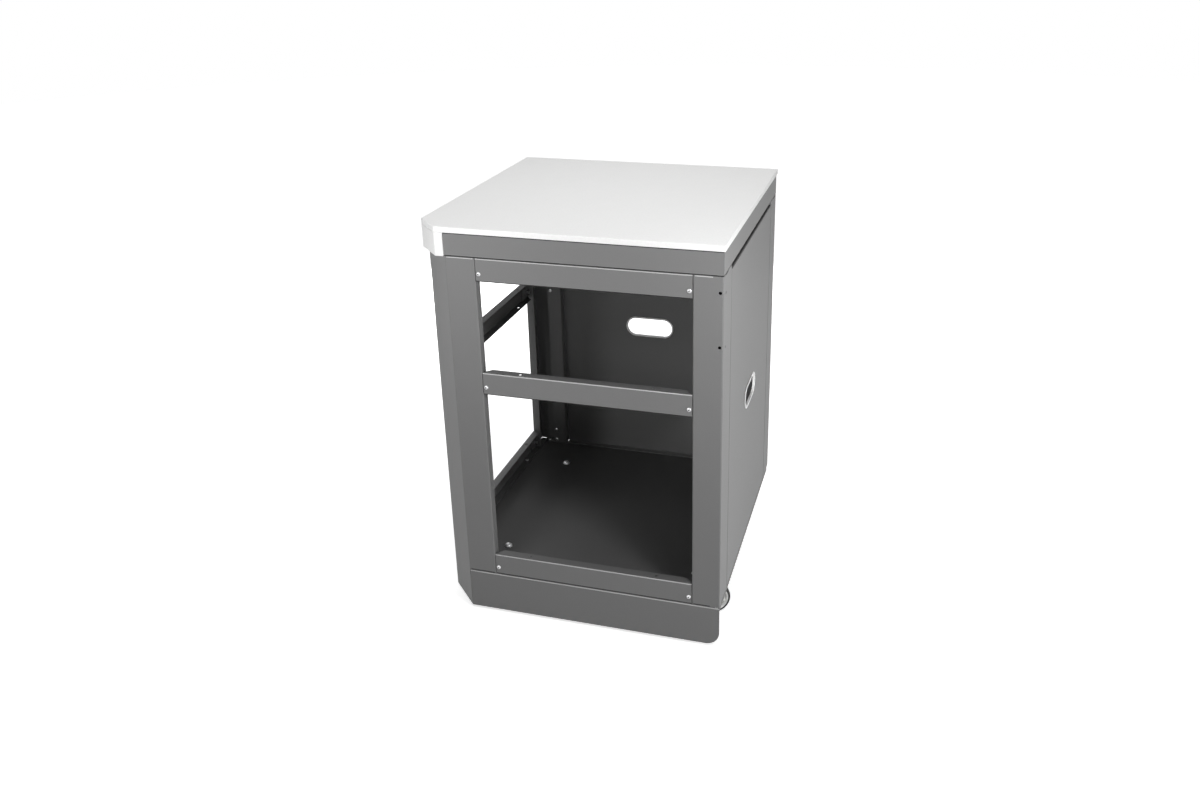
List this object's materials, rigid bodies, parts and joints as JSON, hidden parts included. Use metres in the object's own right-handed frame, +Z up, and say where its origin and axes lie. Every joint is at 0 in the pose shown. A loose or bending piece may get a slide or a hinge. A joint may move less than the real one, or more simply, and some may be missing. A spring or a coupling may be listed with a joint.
{
  "type": "outdoor kitchen corner cabinet",
  "caption": "Corner cabinet for an outdoor kitchen: folded sheet frame open on two sides, closed on the other two, under a stone worktop, on swivel castors.",
  "frame": {"origin": "on the floor, under the centre of the square footprint", "axes": "+Z up; the open front with the kick plate faces -Y and the open left side faces -X; the closed panels face +X and +Y"},
  "size_m": [0.65, 0.65, 0.908],
  "materials": {
    "stone_white": "honed, pale",
    "coat_grey": "satin powder coat",
    "coat_dark": "satin powder coat",
    "edging_white": "matte",
    "zinc_bright": "bright zinc plate",
    "castor_steel": "zinc plate",
    "wheel_nylon": "matte",
    "tyre_rubber": "matte"
  },
  "bodies": {
    "carcass": {"worktop_slab": "stone_white", "corner_drop": "stone_white", "apron_gusset": "coat_grey", "apron_front": "coat_grey", "apron_left": "coat_grey", "apron_right": "coat_grey", "apron_back": "coat_grey", "corner_post": "coat_grey", "post_front_right": "coat_grey", "post_rear_left": "coat_grey", "post_rear_right": "coat_grey", "front_rail_top": "coat_grey", "front_rail_mid": "coat_grey", "front_rail_bottom": "coat_grey", "left_rail_top": "coat_grey", "left_rail_mid": "coat_grey", "left_rail_bottom": "coat_grey", "side_panel": "coat_grey", "back_panel": "coat_grey", "side_slot_trim": "edging_white", "back_slot_trim": "edging_white", "base_tray": "coat_dark", "kick_plate_front": "coat_dark", "kick_plate_left": "coat_dark", "rail_screws_front": "zinc_bright", "rail_screws_left": "zinc_bright", "rivet_nuts": "zinc_bright", "panel_screws": "zinc_bright", "panel_nuts": "zinc_bright", "kick_screws": "zinc_bright", "kick_nuts": "zinc_bright", "apron_screws": "zinc_bright", "apron_nuts": "zinc_bright", "foot_screws": "zinc_bright", "foot_nuts": "zinc_bright", "castor_heads": "castor_steel", "castor_bolts": "zinc_bright", "castor_nuts": "zinc_bright", "swivel_balls": "zinc_bright"},
    "castor_fl_swivel": {"castor_fl_fork": "castor_steel", "castor_fl_axle": "zinc_bright"},
    "castor_fl_wheel": {"castor_fl_hub": "wheel_nylon", "castor_fl_tyre": "tyre_rubber"},
    "castor_fr_swivel": {"castor_fr_fork": "castor_steel", "castor_fr_axle": "zinc_bright"},
    "castor_fr_wheel": {"castor_fr_hub": "wheel_nylon", "castor_fr_tyre": "tyre_rubber"},
    "castor_rl_swivel": {"castor_rl_fork": "castor_steel", "castor_rl_axle": "zinc_bright"},
    "castor_rl_wheel": {"castor_rl_hub": "wheel_nylon", "castor_rl_tyre": "tyre_rubber"},
    "castor_rr_swivel": {"castor_rr_fork": "castor_steel", "castor_rr_axle": "zinc_bright"},
    "castor_rr_wheel": {"castor_rr_hub": "wheel_nylon", "castor_rr_tyre": "tyre_rubber"}
  },
  "joints": [
    {"name": "castor_fl_turn", "type": "hinge", "parent": "carcass", "child": "castor_fl_swivel", "pos_m": [-0.2035, -0.212, 0.09], "axis": [0, 0, 1], "continuous": true},
    {"name": "castor_fl_roll", "type": "hinge", "parent": "castor_fl_swivel", "child": "castor_fl_wheel", "pos_m": [-0.24125, -0.19359, 0.0375], "axis": [-0.4384, -0.8988, 0], "continuous": true},
    {"name": "castor_fr_turn", "type": "hinge", "parent": "carcass", "child": "castor_fr_swivel", "pos_m": [0.245, -0.212, 0.09], "axis": [0, 0, 1], "continuous": true},
    {"name": "castor_fr_roll", "type": "hinge", "parent": "castor_fr_swivel", "child": "castor_fr_wheel", "pos_m": [0.28275, -0.19359, 0.0375], "axis": [-0.4384, 0.8988, 0], "continuous": true},
    {"name": "castor_rl_turn", "type": "hinge", "parent": "carcass", "child": "castor_rl_swivel", "pos_m": [-0.2035, 0.194, 0.09], "axis": [0, 0, 1], "continuous": true},
    {"name": "castor_rl_roll", "type": "hinge", "parent": "castor_rl_swivel", "child": "castor_rl_wheel", "pos_m": [-0.22322, 0.23108, 0.0375], "axis": [-0.8829, -0.4695, 0], "continuous": true},
    {"name": "castor_rr_turn", "type": "hinge", "parent": "carcass", "child": "castor_rr_swivel", "pos_m": [0.245, 0.194, 0.09], "axis": [0, 0, 1], "continuous": true},
    {"name": "castor_rr_roll", "type": "hinge", "parent": "castor_rr_swivel", "child": "castor_rr_wheel", "pos_m": [0.20725, 0.17559, 0.0375], "axis": [0.4384, -0.8988, 0], "continuous": true}
  ]
}
